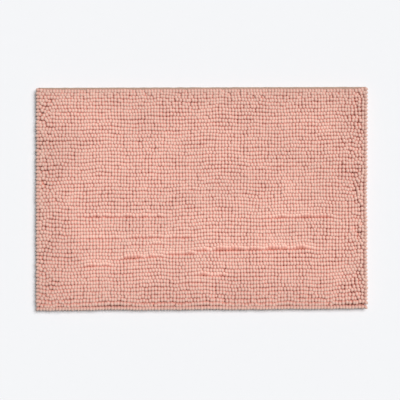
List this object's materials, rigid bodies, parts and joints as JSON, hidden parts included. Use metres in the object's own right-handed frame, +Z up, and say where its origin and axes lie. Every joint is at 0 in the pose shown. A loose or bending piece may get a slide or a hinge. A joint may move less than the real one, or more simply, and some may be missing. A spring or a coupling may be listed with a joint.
{
  "type": "bath mat",
  "caption": "Rectangular bath mat with a deep looped chenille pile in rows, a cloth backing with an anti-slip coat underneath, and a hem tape sewn round its edge.",
  "frame": {"origin": "on the floor, at the middle of the mat's footprint", "axes": "+X along the mat's length and its pile rows, +Y across its width, +Z up from the floor through the pile"},
  "size_m": [0.9, 0.6036, 0.02],
  "materials": {
    "chenille_pile": "matte",
    "backing_cloth": "matte",
    "grip_coat": "satin",
    "hem_tape": "matte",
    "sewing_thread": "satin"
  },
  "bodies": {
    "root": {"pile_rows_01_02": "chenille_pile", "pile_rows_03_04": "chenille_pile", "pile_rows_05_06": "chenille_pile", "pile_rows_07_08": "chenille_pile", "pile_rows_09_10": "chenille_pile", "pile_rows_11_12": "chenille_pile", "pile_rows_13_14": "chenille_pile", "pile_rows_15_16": "chenille_pile", "pile_rows_17_18": "chenille_pile", "pile_rows_19_20": "chenille_pile", "pile_rows_21_22": "chenille_pile", "pile_rows_23_24": "chenille_pile", "pile_rows_25_26": "chenille_pile", "pile_rows_27_28": "chenille_pile", "pile_rows_29_30": "chenille_pile", "pile_rows_31_32": "chenille_pile", "pile_rows_33_34": "chenille_pile", "pile_rows_35_36": "chenille_pile", "pile_rows_37_38": "chenille_pile", "pile_rows_39_40": "chenille_pile", "pile_rows_41_42": "chenille_pile", "pile_rows_43_44": "chenille_pile", "pile_rows_45_46": "chenille_pile", "pile_rows_47_48": "chenille_pile", "pile_rows_49_50": "chenille_pile", "pile_rows_51_52": "chenille_pile", "pile_rows_53_54": "chenille_pile", "pile_rows_55_56": "chenille_pile", "pile_rows_57_58": "chenille_pile", "pile_rows_59_60": "chenille_pile", "pile_rows_61_62": "chenille_pile", "primary_backing": "backing_cloth", "anti_slip_backing": "grip_coat", "hem_tape_front": "hem_tape", "hem_tape_back": "hem_tape", "hem_tape_left": "hem_tape", "hem_tape_right": "hem_tape", "needle_thread_front": "sewing_thread", "needle_thread_back": "sewing_thread", "needle_thread_left": "sewing_thread", "needle_thread_right": "sewing_thread", "bobbin_thread_front": "sewing_thread", "bobbin_thread_back": "sewing_thread", "bobbin_thread_left": "sewing_thread", "bobbin_thread_right": "sewing_thread"}
  },
  "joints": []
}
